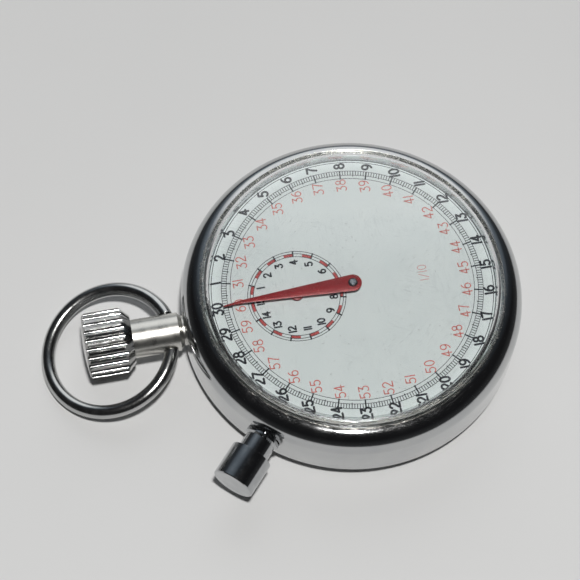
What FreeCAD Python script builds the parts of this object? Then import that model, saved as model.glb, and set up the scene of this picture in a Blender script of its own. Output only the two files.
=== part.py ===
import FreeCAD, Part
import math
import os
from FreeCAD import Vector

# Mechanical pin-lever stopwatch, 52 mm chromed case.  Millimetres.
# Origin: centre of the flat back face.  +Z runs up through the dial and the crystal,
# +Y runs out through the pendant and the crown.

# ---------------------------------------------------------------- case and glass
case_radius = 26.0
case_base_z = 2.75
shoulder_height = 3.2
back_room = 2.15
case_wall = 1.05
bezel_width = 3.0
crystal_wall = 0.7
crystal_wall_rise = 0.7
crystal_corner = 0.55
crystal_rise = 2.5
crystal_thickness = 1.0
lip_thickness = 0.33
lip_seat_gap = 0.32
dial_pocket_clearance = 0.1

# ---------------------------------------------------------------- back cover
back_flat_radius = 21.0
back_edge_z = 1.75
back_rim_taper = 0.6
back_wall = 0.7
back_rim_height = 1.3
seam_gap = 0.05
snap_rim_wall = 0.7

# ---------------------------------------------------------------- dial and hands
dial_thickness = 0.4
dial_foot_radius = 0.45
dial_foot_circle = 17.0
dial_hole_clearance = 0.35
sub_dial_offset = 8.52
tension_ring_wall = 0.6
tension_ring_height = 0.95
sweep_hand_length = 19.7
sweep_hand_width = 2.6
sweep_hand_lift = 1.15
minute_hand_length = 6.3
minute_hand_width = 0.9
minute_hand_lift = 0.45
hand_tip_width = 0.18
sweep_hub_radius = 1.35
minute_hub_radius = 1.0
hand_thickness = 0.18
hand_tip_drop = 0.55

# ---------------------------------------------------------------- crown, pendant, bow
crown_axis_rise = 2.85
crown_radius = 5.05
crown_standoff = 7.9
crown_length = 7.6
crown_chamfer = 1.45
crown_dome = 0.75
crown_flutes = 24
flute_radius = 0.5
flute_depth = 0.42
crown_travel = 1.2
pendant_radius = 2.95
pendant_neck_radius = 2.3
pendant_bore = 2.2
pendant_shoulder_reach = 2.9
pendant_neck_reach = 0.2
pendant_taper = 0.6
pendant_reach = 10.7
sleeve_reach = 7.0
sleeve_clearance = 0.3
crown_skirt_clearance = 0.15
crown_cap_thickness = 2.9
stem_radius = 0.9
stem_square = 1.2
stem_end_y = 14.3
bow_wire_radius = 1.05
bow_ring_radius = 10.0
bow_pin_radius = 0.65
bow_pin_root = 0.6
bow_pivot_reach = 2.4

# ---------------------------------------------------------------- reset button
button_angle = 48.0
button_radius = 3.25
button_standoff = 3.3
button_length = 5.3
button_travel = 1.5
button_tube_radius = 2.4
button_tube_bore = 1.75
button_rod_radius = 0.8
button_rod_end = 19.5
button_edge = 0.12
button_cap_thickness = 2.2
button_tube_reach = 4.6
button_collar_radius = 2.75

# ---------------------------------------------------------------- movement plates
plate_thickness = 1.8
plate_rim_height = 0.5
plate_rim_width = 0.8
under_dial_gap = 0.05
train_height = 5.5
bridge_thickness = 1.2
bridge_margin = 2.1
pillar_radius = 1.1
post_radius = 0.6
ring_wall = 1.5
screw_hole_radius = 0.5
screw_reach = 2.2
clamp_thickness = 0.5
clamp_width = 2.4
clamp_screw_inset = 1.15
stem_block_half = 1.7
stem_block_y = 17.3
stem_block_length = 3.6

# ---------------------------------------------------------------- fits and arbors
running_clearance = 0.05
assembly_gap = 0.05
free_gap = 0.3
pivot_radius = 0.22
arbor_radius = 0.45
pressure_angle = math.radians(25.0)
addendum_factor = 0.7
dedendum_factor = 0.95
tooth_backlash = 0.02

# ---------------------------------------------------------------- going train
barrel_teeth, minute_pinion_teeth, barrel_module = 72, 9, 0.19
minute_teeth, third_pinion_teeth, minute_module = 60, 10, 0.20
third_teeth, sweep_pinion_teeth, third_module = 50, 10, 0.22
sweep_teeth, escape_pinion_teeth, sweep_module = 80, 8, 0.14
escape_teeth = 15
escape_radius = 2.2
wheel_thickness = 0.4
wheel_rim = 0.75
spoke_width = 0.6
spoke_count = 4
pinion_overlap = 0.15
thin_arbor_radius = 0.32
pallet_pin_radius = 0.13
roller_pin_circle = 0.75
roller_pin_radius = 0.13
pallet_foot = (11.3, -5.8)

# ---------------------------------------------------------------- barrel and winding
barrel_arbor_radius = 0.9
arbor_core_radius = 1.8
drum_wall = 0.4
drum_tooth_step = 0.15
mainspring_turns = 9
mainspring_strip = 0.16
ratchet_teeth, crown_wheel_teeth, winding_module = 30, 22, 0.30
winding_pinion_teeth, winding_pinion_module = 12, 0.28
pinion_start_y = 15.1
pinion_end_y = 16.7
face_tooth_outer = 2.95
face_tooth_inner = 2.1
crown_wheel_core_radius = 0.8
click_width = 0.8

# ---------------------------------------------------------------- start, stop and reset work
heart_low = 0.9
heart_high = 1.85
column_teeth = 12
column_count = 6
column_wheel_radius = 2.2
brake_width = 1.0
hammer_arm_width = 1.2
hammer_pad_arm = 12.0
pad_length = 4.6
pad_thickness = 0.8
finger_clearance = 0.1

# ---------------------------------------------------------------- balance
balance_radius = 5.2
balance_rim = 0.7
balance_thickness = 0.7
balance_x, balance_y = 8.6, -10.1
hairspring_radius = 2.7
hairspring_turns = 7
hairspring_strip = 0.07
hairspring_height = 0.25
hairspring_start = math.radians(120.0)
hairspring_stud_gap = 0.05
stud_radius = 0.3
balance_jewel_radius = 0.75
cock_boss_radius = 1.1
regulator_height = 0.45

# ---------------------------------------------------------------- what follows from the case
dial_side_height = dial_thickness + plate_rim_height + under_dial_gap + plate_thickness
bezel_top_z = back_room + bridge_thickness + train_height + dial_side_height + lip_seat_gap + lip_thickness
crystal_radius = case_radius - bezel_width
crystal_wall_top_z = bezel_top_z + crystal_wall_rise
shoulder_z = bezel_top_z - shoulder_height
crown_axis_z = back_room + bridge_thickness + crown_axis_rise
crown_start_y = case_radius + crown_standoff
pendant_shoulder_y = case_radius + pendant_shoulder_reach
pendant_neck_end_y = case_radius + pendant_neck_reach
pendant_end_y = case_radius + pendant_reach
sleeve_start_y = case_radius + sleeve_reach
bow_pivot_y = case_radius + bow_pivot_reach
button_start = case_radius + button_standoff
button_tube_end = case_radius + button_tube_reach

# ---------------------------------------------------------------- levels above the back
dial_top_z = bezel_top_z - lip_thickness - lip_seat_gap
dial_base_z = dial_top_z - dial_thickness
plate_top_z = dial_base_z - plate_rim_height - under_dial_gap
plate_base_z = plate_top_z - plate_thickness
bridge_top_z = plate_base_z - train_height
bridge_base_z = bridge_top_z - bridge_thickness
winding_z = bridge_top_z + 0.2
winding_wheel_height = 0.6
drum_top_z = plate_base_z - 1.5
drum_tooth_height = 0.7
heart_z = bridge_top_z + 0.9
heart_height = 0.7
drum_base_z = heart_z + heart_height + 0.15
sweep_wheel_z = heart_z + heart_height + 0.5
third_wheel_z = plate_base_z - 1.95
minute_wheel_z = plate_base_z - 1.2
minute_pinion_z = drum_top_z - drum_tooth_height - 0.1
escape_z = plate_base_z - 1.5
balance_z = heart_z
lever_z = heart_z + heart_height + 0.35
lever_thickness = 0.8
pallet_cock_z = lever_z + 0.25
bridge_foot_z = winding_z + winding_wheel_height
sweep_hand_z = dial_top_z + sweep_hand_lift
minute_hand_z = dial_top_z + minute_hand_lift

# ---------------------------------------------------------------- radii that follow
lip_radius = crystal_radius - crystal_wall + assembly_gap
dial_radius = crystal_radius - 0.4
dial_pocket_radius = dial_radius + dial_pocket_clearance
plate_radius = dial_pocket_radius + 0.4
plate_pocket_radius = plate_radius + 0.1
bridge_radius = plate_radius - bridge_margin
cavity_radius = case_radius - case_wall
lip_base_z = bezel_top_z - lip_thickness - 0.3
drum_radius = barrel_module * (barrel_teeth / 2 - dedendum_factor) - drum_tooth_step
drum_inner_radius = drum_radius - drum_wall
winding_pinion_tip = winding_pinion_module * (winding_pinion_teeth / 2 + addendum_factor)
clamp_start = bridge_radius + 2 * assembly_gap
clamp_circle = bridge_radius + clamp_screw_inset
hammer_swing = button_travel / hammer_pad_arm
finger_rest = heart_high + finger_clearance + hammer_arm_width / 2


def radians(degrees):
    return math.radians(degrees)


def polar(radius, angle, x=0.0, y=0.0):
    return (x + radius * math.cos(angle), y + radius * math.sin(angle))


# ---------------------------------------------------------------- where the arbors stand
def third_place():
    """Left-hand crossing of the two centre distances from the sweep and minute arbors."""
    from_sweep = third_module * (third_teeth + sweep_pinion_teeth) / 2
    from_minute = minute_module * (minute_teeth + third_pinion_teeth) / 2
    y = (from_sweep ** 2 - from_minute ** 2 + sub_dial_offset ** 2) / (2 * sub_dial_offset)
    return (-math.sqrt(from_sweep ** 2 - y ** 2), y)


sweep_at = (0.0, 0.0)
minute_at = (0.0, sub_dial_offset)
third_at = third_place()
barrel_direction = radians(15.0)
barrel_distance = barrel_module * (barrel_teeth + minute_pinion_teeth) / 2
barrel_at = polar(barrel_distance, barrel_direction, *minute_at)
escape_direction = radians(-49.5)
escape_distance = sweep_module * (sweep_teeth + escape_pinion_teeth) / 2
escape_at = polar(escape_distance, escape_direction)
balance_at = (balance_x, balance_y)
winding_distance = winding_module * (ratchet_teeth + crown_wheel_teeth) / 2
crown_wheel_at = (0.0, barrel_at[1] + math.sqrt(winding_distance ** 2 - barrel_at[0] ** 2))
lever_line = math.atan2(balance_at[1] - escape_at[1], balance_at[0] - escape_at[0])
pallet_at = polar(escape_radius + 1.25, lever_line, *escape_at)
column_at = (-14.5, 4.5)
hammer_at = (-8.0, -9.0)
operating_at = (-7.5, 12.6)
brake_at = (-12.0, -6.0)
click_at = (14.2, 5.6)
button_out = Vector(-math.sin(radians(button_angle)), math.cos(radians(button_angle)), 0)
barrel_pillars = ((17.6, 9.2), (5.2, 19.0), (-5.4, 18.4))
train_pillars = ((-18.4, -4.0), (-17.4, 9.2), (-7.6, -17.6), (18.2, 1.5), (2.2, -17.6))
cock_pillars = ((16.6, -7.4), (12.4, -15.6))
post_places = (hammer_at, operating_at, brake_at, click_at)
clamp_angles = (radians(20), radians(190), radians(285))
dial_foot_places = [polar(dial_foot_circle, radians(angle)) for angle in (200, 340)]
sweep_finger_distance = finger_rest + hammer_swing * (sweep_at[1] - hammer_at[1])
minute_finger_distance = finger_rest + hammer_swing * (minute_at[1] - hammer_at[1])
beyond = case_radius


# ---------------------------------------------------------------- shape helpers
def cylinder(radius, z0, z1, at=(0.0, 0.0)):
    return Part.makeCylinder(radius, z1 - z0, Vector(at[0], at[1], z0))


def ring(outer, inner, z0, z1, at=(0.0, 0.0)):
    return cylinder(outer, z0, z1, at).cut(cylinder(inner, z0, z1, at))


def bar(length, width, z0, z1, at=(0.0, 0.0), angle=0.0):
    """A flat bar that starts at a point and runs out along an angle."""
    shape = Part.makeBox(length, width, z1 - z0, Vector(0, -width / 2, z0))
    shape.rotate(Vector(0, 0, 0), Vector(0, 0, 1), math.degrees(angle))
    shape.translate(Vector(at[0], at[1], 0))
    return shape


def prism(points, z0, z1):
    """A closed outline of straight sides, raised from z0 to z1."""
    loop = [Vector(x, y, z0) for x, y in points]
    face = Part.Face(Part.makePolygon(loop + loop[:1]))
    return face.extrude(Vector(0, 0, z1 - z0))


def turned(profile):
    """A closed (radius, height) outline of straight sides turned about Z."""
    loop = [Vector(r, 0, z) for r, z in profile]
    face = Part.Face(Part.makePolygon(loop + loop[:1]))
    return face.revolve(Vector(0, 0, 0), Vector(0, 0, 1), 360)


def turned_edges(edges):
    """A closed outline of lines and arcs in the XZ plane turned about Z."""
    face = Part.Face(Part.Wire(edges))
    return face.revolve(Vector(0, 0, 0), Vector(0, 0, 1), 360)


def line(a, b):
    return Part.makeLine(Vector(a[0], 0, a[1]), Vector(b[0], 0, b[1]))


def arc(a, middle, b):
    through = [Vector(r, 0, z) for r, z in (a, middle, b)]
    return Part.Arc(*through).toShape()


def fuse(shapes):
    whole = shapes[0].multiFuse(shapes[1:]) if len(shapes) > 1 else shapes[0]
    return whole.removeSplitter()


def slab(points, width, z0, z1):
    """A lever of even width along a path, with round ends and corners."""
    pieces = [cylinder(width / 2, z0, z1, point) for point in points]
    for start, end in zip(points, points[1:]):
        length = math.hypot(end[0] - start[0], end[1] - start[1])
        angle = math.atan2(end[1] - start[1], end[0] - start[0])
        pieces.append(bar(length, width, z0, z1, start, angle))
    return fuse(pieces)


def out_along(shape, direction):
    """Lay a shape turned about Z along a level direction at the height of the crown axis."""
    placed = shape.copy()
    turn = FreeCAD.Rotation(Vector(0, 0, 1), direction)
    placed.Placement = FreeCAD.Placement(Vector(0, 0, crown_axis_z), turn).multiply(placed.Placement)
    return placed


def on_crown_axis(shape):
    return out_along(shape, Vector(0, 1, 0))


def on_button_axis(shape):
    return out_along(shape, button_out)


def arbor(at, radius, z0, z1):
    """A shaft with a thin pivot at each end, running in the plate and the bridge."""
    low_pivot = cylinder(pivot_radius, bridge_base_z + free_gap, z0, at)
    high_pivot = cylinder(pivot_radius, z1, plate_top_z - free_gap, at)
    return fuse([cylinder(radius, z0, z1, at), low_pivot, high_pivot])


def pivot_hole(at):
    return cylinder(pivot_radius + running_clearance, bridge_base_z, plate_top_z, at)


# ---------------------------------------------------------------- toothed wheels
def involute(angle):
    return math.tan(angle) - angle


def tooth_half_angle(radius, teeth, module):
    """Half the angle that a tooth fills at a radius; below the base circle its sides are radial."""
    pitch_radius = teeth * module / 2
    base_radius = pitch_radius * math.cos(pressure_angle)
    thickness = math.pi * module / 2 - tooth_backlash
    roll = involute(pressure_angle) - involute(math.acos(min(1.0, base_radius / radius)))
    return thickness / (2 * pitch_radius) + roll


def gear(teeth, module, z0, z1, at, phase=0.0):
    """A spur gear with straight-sided approximations of involute teeth."""
    pitch = teeth * module / 2
    tip = pitch + addendum_factor * module
    root = pitch - dedendum_factor * module
    outline = []
    for tooth in range(teeth):
        middle = phase + 2 * math.pi * tooth / teeth
        rising = [(radius, middle - tooth_half_angle(radius, teeth, module)) for radius in (root, pitch, tip)]
        falling = [(radius, 2 * middle - angle) for radius, angle in reversed(rising)]
        outline += [polar(radius, angle, *at) for radius, angle in rising + falling]
    return prism(outline, z0, z1)


def meshed_phase(driver_teeth, driver_phase, driver_at, teeth, at):
    """The phase that puts a gap of this gear in front of the driver's tooth."""
    direction = math.atan2(at[1] - driver_at[1], at[0] - driver_at[0])
    driver_share = ((direction - driver_phase) * driver_teeth / (2 * math.pi)) % 1.0
    return direction + math.pi - (0.5 - driver_share) * 2 * math.pi / teeth


barrel_phase = 0.0
minute_phase = 0.0
third_phase = 0.0
sweep_phase = 0.0
crown_wheel_phase = 0.0
ratchet_phase = meshed_phase(crown_wheel_teeth, crown_wheel_phase, crown_wheel_at, ratchet_teeth, barrel_at)
minute_pinion_phase = meshed_phase(barrel_teeth, barrel_phase, barrel_at, minute_pinion_teeth, minute_at)
third_pinion_phase = meshed_phase(minute_teeth, minute_phase, minute_at, third_pinion_teeth, third_at)
sweep_pinion_phase = meshed_phase(third_teeth, third_phase, third_at, sweep_pinion_teeth, sweep_at)
escape_pinion_phase = meshed_phase(sweep_teeth, sweep_phase, sweep_at, escape_pinion_teeth, escape_at)


def crossed_out(wheel, pitch_radius, at, z0, z1, hub_radius):
    """Lighten a wheel to a rim, a hub and spokes."""
    inner = pitch_radius - wheel_rim
    rim = wheel.cut(cylinder(inner, z0, z1, at))
    spokes = [
        bar(inner + wheel_rim / 3, spoke_width, z0, z1, at, 2 * math.pi * spoke / spoke_count)
        for spoke in range(spoke_count)
    ]
    return fuse([rim, cylinder(hub_radius, z0, z1, at)] + spokes)


def spoked_gear(teeth, module, z0, at, phase):
    z1 = z0 + wheel_thickness
    wheel = gear(teeth, module, z0, z1, at, phase)
    return crossed_out(wheel, teeth * module / 2, at, z0, z1, 3 * arbor_radius)


def heart_cam(at, z0, z1, low_angle):
    """A heart whose radius grows evenly from the low point both ways round."""
    steps = 36
    points = []
    for step in range(steps):
        turn = 2 * math.pi * step / steps
        share = min(turn, 2 * math.pi - turn) / math.pi
        points.append(polar(heart_low + (heart_high - heart_low) * share, low_angle + turn, *at))
    return prism(points, z0, z1)


def spiral_strip(at, inner, outer, turns, strip, z0, z1, start):
    """A flat spiral spring wound from an inner to an outer radius."""
    steps = 20 * turns
    inside, outside = [], []
    for step in range(steps + 1):
        share = step / steps
        angle = start + 2 * math.pi * turns * share
        radius = inner + (outer - inner) * share
        inside.append(polar(radius - strip / 2, angle, *at))
        outside.append(polar(radius + strip / 2, angle, *at))
    return prism(inside + outside[::-1], z0, z1)


def coil_spring(radius, wire, start, end, turns):
    """A compression spring along Z, open at both ends."""
    helix = Part.makeHelix((end - start - 2 * wire) / turns, end - start - 2 * wire, radius)
    helix.translate(Vector(0, 0, start + wire))
    section = Part.Wire(Part.makeCircle(wire, Vector(radius, 0, start + wire), Vector(0, 1, 0)))
    return Part.Wire(helix.Edges).makePipeShell([section], True, True)


def screw(at, head_z, length, head_radius=1.0, shank_radius=0.5, head_height=0.45, up=1):
    """A cheese-head screw with a slot; up is the way the shank points along Z."""
    slot = Part.makeBox(2.2 * head_radius, 0.25, 0.2, Vector(-1.1 * head_radius, -0.125, -head_height))
    body = Part.makeCylinder(head_radius, head_height, Vector(0, 0, -head_height))
    body = body.fuse(Part.makeCylinder(shank_radius, length, Vector(0, 0, 0))).removeSplitter().cut(slot)
    if up < 0:
        body.rotate(Vector(0, 0, 0), Vector(1, 0, 0), 180)
    body.translate(Vector(at[0], at[1], head_z))
    return body


# ---------------------------------------------------------------- case parts
def bezel_point(angle):
    """A point on the round shoulder; angle is counted up from the level."""
    width = case_radius - crystal_radius - assembly_gap
    height = bezel_top_z - shoulder_z
    radius = (width ** 2 + height ** 2) / (2 * width)
    return (case_radius - radius + radius * math.cos(angle), shoulder_z + radius * math.sin(angle))


def bezel_end_angle():
    width = case_radius - crystal_radius - assembly_gap
    height = bezel_top_z - shoulder_z
    radius = (width ** 2 + height ** 2) / (2 * width)
    return math.asin(height / radius)


def case_body():
    """Turned shell: straight side, round shoulder, lip under the crystal."""
    end = bezel_end_angle()
    crystal_bore = crystal_radius + assembly_gap
    seat_z = lip_base_z + 0.3
    plate_ceiling = plate_top_z + plate_rim_height * 0.4
    points = [
        (crystal_bore, bezel_top_z), (crystal_bore, seat_z), (lip_radius, seat_z),
        (lip_radius, lip_base_z), (dial_pocket_radius, lip_base_z), (dial_pocket_radius, plate_ceiling),
        (plate_pocket_radius, plate_ceiling), (plate_pocket_radius, plate_base_z + 0.6),
        (cavity_radius, plate_base_z), (cavity_radius, case_base_z), (case_radius, case_base_z),
        (case_radius, shoulder_z),
    ]
    edges = [line(a, b) for a, b in zip(points, points[1:])]
    edges.append(arc(points[-1], bezel_point(end / 2), points[0]))
    shell = turned_edges(edges)
    inside, outside = cavity_radius / 2, case_radius + 1
    stem_hole = on_crown_axis(cylinder(pendant_neck_radius + assembly_gap, inside, outside))
    tube_hole = on_button_axis(cylinder(button_tube_radius + assembly_gap, inside, outside))
    return shell.cut(stem_hole).cut(tube_hole)


def back_cover():
    """Snap-on back: flat middle, curved edge, visible rim and a snap ring inside the case."""
    rim_top = case_base_z - seam_gap
    snap_outer = cavity_radius - assembly_gap
    snap_inner = snap_outer - snap_rim_wall
    edge = case_radius - 0.05
    foot = edge - back_rim_taper
    bend_width = foot - back_flat_radius
    bend_radius = (bend_width ** 2 + back_edge_z ** 2) / (2 * back_edge_z)
    half_bend = math.asin(bend_width / bend_radius) / 2
    bend_depth = bend_radius * (1 - math.cos(half_bend))
    outer_bend = (back_flat_radius + bend_radius * math.sin(half_bend), bend_depth)
    edges = [
        line((0, back_wall), (0, 0)), line((0, 0), (back_flat_radius, 0)),
        arc((back_flat_radius, 0), outer_bend, (foot, back_edge_z)),
        line((foot, back_edge_z), (edge, rim_top)), line((edge, rim_top), (snap_outer, rim_top)),
        line((snap_outer, rim_top), (snap_outer, rim_top + back_rim_height)),
        line((snap_outer, rim_top + back_rim_height), (snap_inner, rim_top + back_rim_height)),
        line((snap_inner, rim_top + back_rim_height), (snap_inner, back_edge_z + back_wall / 2)),
        line((snap_inner, back_edge_z + back_wall / 2), (back_flat_radius, back_wall)),
        line((back_flat_radius, back_wall), (0, back_wall)),
    ]
    return turned_edges(edges)


def crystal():
    """Moulded acrylic crystal: upright wall, rounded corner and a shallow dome."""
    seat_z = lip_base_z + 0.3 + 0.02
    dome_radius = crystal_radius - crystal_corner
    dome_z = crystal_wall_top_z + crystal_corner
    apex = dome_z + crystal_rise
    corner = (crystal_radius - 0.3 * crystal_corner, dome_z - 0.3 * crystal_corner)
    inner_wall = crystal_radius - crystal_wall
    inner_dome = inner_wall - crystal_corner
    inner_z = crystal_wall_top_z - 0.25
    inner_apex = apex - crystal_thickness

    def dome_middle(radius, edge_z, top_z):
        rise = top_z - edge_z
        sphere = (radius ** 2 + rise ** 2) / (2 * rise)
        half = radius / 2
        return (half, top_z - sphere + math.sqrt(sphere ** 2 - half ** 2))

    edges = [
        line((0, inner_apex), (0, apex)),
        arc((0, apex), dome_middle(dome_radius, dome_z, apex), (dome_radius, dome_z)),
        arc((dome_radius, dome_z), corner, (crystal_radius, crystal_wall_top_z)),
        line((crystal_radius, crystal_wall_top_z), (crystal_radius, seat_z)),
        line((crystal_radius, seat_z), (inner_wall, seat_z)),
        line((inner_wall, seat_z), (inner_wall, inner_z)),
        line((inner_wall, inner_z), (inner_dome, inner_z + crystal_corner)),
        arc((inner_dome, inner_z + crystal_corner),
            dome_middle(inner_dome, inner_z + crystal_corner, inner_apex), (0, inner_apex)),
    ]
    return turned_edges(edges)


def tension_ring():
    """Bright ring that presses the crystal wall outwards and frames the dial."""
    outer = crystal_radius - crystal_wall - 0.02
    inner = outer - tension_ring_wall
    base = dial_top_z + assembly_gap
    return turned([
        (inner, base), (outer, base), (outer, base + tension_ring_height),
        (inner + tension_ring_wall * 0.55, base + tension_ring_height), (inner, base + 0.3),
    ])


def dial():
    """Flat enamelled disc with two soldered feet underneath."""
    disc = cylinder(dial_radius, dial_base_z, dial_top_z)
    feet = [cylinder(dial_foot_radius, plate_base_z + free_gap, dial_base_z, at) for at in dial_foot_places]
    blank = fuse([disc] + feet)
    for at in (sweep_at, minute_at):
        blank = blank.cut(cylinder(arbor_radius + dial_hole_clearance, dial_base_z, dial_top_z, at))
    return blank


# ---------------------------------------------------------------- movement frame
def bridge_blank(points):
    return prism(points, bridge_base_z, bridge_top_z).common(
        cylinder(bridge_radius, bridge_base_z, bridge_top_z))


def main_plate():
    """Dial-side plate: rim under the dial, blocks that carry the stem, and every pivot hole."""
    rim = ring(dial_radius, dial_radius - plate_rim_width, plate_top_z, dial_base_z - under_dial_gap)
    plate = cylinder(plate_radius, plate_base_z, plate_top_z)
    block_base_z = crown_axis_z - stem_block_half
    block = Part.makeBox(2 * stem_block_half, stem_block_length, plate_base_z - block_base_z,
                         Vector(-stem_block_half, stem_block_y, block_base_z))
    whole = fuse([plate, rim, block])
    whole = whole.cut(on_crown_axis(cylinder(stem_radius + running_clearance, stem_block_y - 1, case_radius)))
    holes = [pivot_hole(at) for at in (third_at, escape_at, pallet_at, balance_at, column_at)]
    hand_hole = arbor_radius + running_clearance
    holes += [cylinder(hand_hole, plate_base_z, plate_top_z, at) for at in (sweep_at, minute_at)]
    holes.append(cylinder(barrel_arbor_radius + running_clearance, plate_base_z, plate_top_z, barrel_at))
    foot_hole = dial_foot_radius + running_clearance
    holes += [cylinder(foot_hole, plate_base_z, plate_top_z, at) for at in dial_foot_places]
    holes += [
        cylinder(screw_hole_radius, plate_base_z, plate_top_z, at)
        for at in barrel_pillars + train_pillars + cock_pillars + post_places
    ]
    clamp_places = [polar(clamp_circle, angle) for angle in clamp_angles]
    holes += [cylinder(screw_hole_radius, plate_base_z, plate_top_z, at) for at in clamp_places]
    for hole in holes:
        whole = whole.cut(hole)
    return whole


def pillars():
    """Riveted pillars that hold the bridges off the plate, and the posts that the levers turn on."""
    whole = []
    for at in barrel_pillars + train_pillars + cock_pillars:
        post = fuse([
            cylinder(pillar_radius, bridge_top_z, plate_base_z, at),
            cylinder(screw_hole_radius, plate_base_z, plate_top_z, at),
        ])
        whole.append(post.cut(cylinder(screw_hole_radius, bridge_top_z, bridge_top_z + screw_reach, at)))
    for at in post_places:
        whole.append(fuse([
            cylinder(post_radius, bridge_top_z + assembly_gap, plate_base_z, at),
            cylinder(screw_hole_radius, plate_base_z, plate_top_z, at),
        ]))
    return Part.makeCompound(whole)


def bridge(points, places, holes):
    plate = bridge_blank(points)
    for at in places:
        plate = plate.cut(cylinder(screw_hole_radius + 0.05, bridge_base_z, bridge_top_z, at))
    for at, radius in holes:
        plate = plate.cut(cylinder(radius, bridge_base_z, bridge_top_z, at))
    return plate


def barrel_bridge():
    points = [
        (-7.5, beyond), (-7.5, 15.0), (-3.9, 15.0), (-3.9, 10.9), (2.2, 10.9), (2.2, 4.2),
        (beyond, 4.2), (beyond, beyond),
    ]
    holes = [(barrel_at, barrel_arbor_radius + running_clearance), (crown_wheel_at, 0.5)]
    return bridge(points, barrel_pillars, holes)


def train_bridge():
    points = [
        (-beyond, 10.5), (1.8, 10.5), (1.8, 3.8), (beyond, 3.8), (beyond, -0.4), (9.0, -2.6), (6.2, -5.9),
        (3.2, -8.6), (3.2, -beyond), (-beyond, -beyond),
    ]
    pivots = (sweep_at, minute_at, third_at, escape_at, column_at)
    return bridge(points, train_pillars, [(at, pivot_radius + running_clearance) for at in pivots])


def balance_cock():
    points = [
        (beyond, -0.9), (9.4, -3.0), (6.5, -6.2), (4.6, -7.9), (4.4, -10.8),
        (6.8, -12.6), (10.2, -beyond), (beyond, -beyond),
    ]
    cock = bridge(points, cock_pillars, [])
    boss = cylinder(cock_boss_radius, bridge_base_z - regulator_height, bridge_base_z, balance_at)
    stud_at = polar(hairspring_radius + stud_radius + hairspring_stud_gap, hairspring_start, *balance_at)
    stud = cylinder(stud_radius, bridge_top_z, balance_z - free_gap / 2, stud_at)
    whole = fuse([cock, boss, stud])
    return whole.cut(cylinder(balance_jewel_radius, bridge_base_z - 1, bridge_top_z, balance_at))


def balance_jewels():
    """Two ring jewels: one pressed in the cock, one in a sink of the main plate."""
    bore = pivot_radius + running_clearance
    return Part.makeCompound([
        ring(balance_jewel_radius, bore, bridge_base_z + 0.3, bridge_top_z - 0.2, balance_at),
        ring(balance_jewel_radius, bore, plate_top_z, plate_top_z + 0.35, balance_at),
    ])


def movement_ring_base():
    return case_base_z - seam_gap + back_rim_height + 0.2


def open_notch(half_width, turn):
    """Slot with a round floor, open upwards, along an axis turned about Z from the crown's."""
    start = cavity_radius / 2
    length = case_radius - start
    floor = on_crown_axis(cylinder(half_width, start, case_radius))
    slot = Part.makeBox(2 * half_width, length, plate_base_z, Vector(-half_width, start, crown_axis_z))
    notch = fuse([floor, slot])
    notch.rotate(Vector(0, 0, 0), Vector(0, 0, 1), turn)
    return notch


def movement_ring():
    """Spacer between the movement and the case side, notched for the stem and the button rod."""
    outer = cavity_radius - assembly_gap
    whole = ring(outer, outer - ring_wall, movement_ring_base(), plate_base_z - assembly_gap)
    stem_notch = open_notch(pendant_neck_radius + free_gap, 0)
    rod_notch = open_notch(button_tube_radius + free_gap, button_angle)
    return whole.cut(stem_notch).cut(rod_notch)


def bridge_screws():
    places = barrel_pillars + train_pillars + cock_pillars
    length = bridge_thickness + screw_reach - free_gap
    return Part.makeCompound([screw(at, bridge_base_z, length) for at in places])


def pallet_cock():
    """Small cock under the balance that carries the pallet arbor."""
    arm = slab([pallet_foot, pallet_at], 1.7, pallet_cock_z, pallet_cock_z + 0.6)
    foot = cylinder(1.2, pallet_cock_z, plate_base_z, pallet_foot)
    hole = cylinder(pivot_radius + running_clearance, pallet_cock_z, plate_base_z, pallet_at)
    return fuse([arm, foot]).cut(hole)

def case_clamps():
    """Three clamp tabs that hold the movement ring up against the plate, each with its screw."""
    top = movement_ring_base()
    snap_inner = cavity_radius - assembly_gap - snap_rim_wall
    length = snap_inner - assembly_gap - clamp_start
    pieces = []
    for angle in clamp_angles:
        at = polar(clamp_circle, angle)
        tab = bar(length, clamp_width, top - clamp_thickness, top, polar(clamp_start, angle), angle)
        pieces.append(tab.cut(cylinder(screw_hole_radius + running_clearance, 0, plate_base_z, at)))
        pieces.append(screw(at, top - clamp_thickness, plate_top_z - free_gap - top + clamp_thickness))
    return Part.makeCompound(pieces)


# ---------------------------------------------------------------- barrel and winding
def barrel_drum():
    teeth_z = drum_top_z - drum_tooth_height
    rim = gear(barrel_teeth, barrel_module, teeth_z, drum_top_z, barrel_at, barrel_phase)
    body = fuse([rim, cylinder(drum_radius, drum_base_z, drum_top_z, barrel_at)])
    hollow = cylinder(drum_radius - drum_wall, drum_base_z, drum_top_z - drum_wall, barrel_at)
    bore = cylinder(barrel_arbor_radius + running_clearance, drum_base_z, drum_top_z, barrel_at)
    return body.cut(hollow).cut(bore)


def barrel_cover():
    return ring(drum_inner_radius, barrel_arbor_radius + running_clearance,
                drum_base_z, drum_base_z + drum_wall, barrel_at)


def barrel_arbor():
    core = cylinder(arbor_core_radius, drum_base_z + drum_wall + assembly_gap,
                    drum_top_z - drum_wall - assembly_gap, barrel_at)
    shaft = cylinder(barrel_arbor_radius, bridge_base_z + 0.1, plate_top_z - free_gap, barrel_at)
    return fuse([core, shaft])


def mainspring():
    inner = arbor_core_radius + 0.35
    outer = drum_inner_radius - 0.3
    base = drum_base_z + drum_wall + 0.15
    top = drum_top_z - drum_wall - 0.15
    return spiral_strip(barrel_at, inner, outer, mainspring_turns, mainspring_strip, base, top, 0.0)


def ratchet_wheel():
    top = winding_z + winding_wheel_height
    wheel = gear(ratchet_teeth, winding_module, winding_z, top, barrel_at, ratchet_phase)
    return wheel.cut(cylinder(barrel_arbor_radius, winding_z, top, barrel_at))


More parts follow.
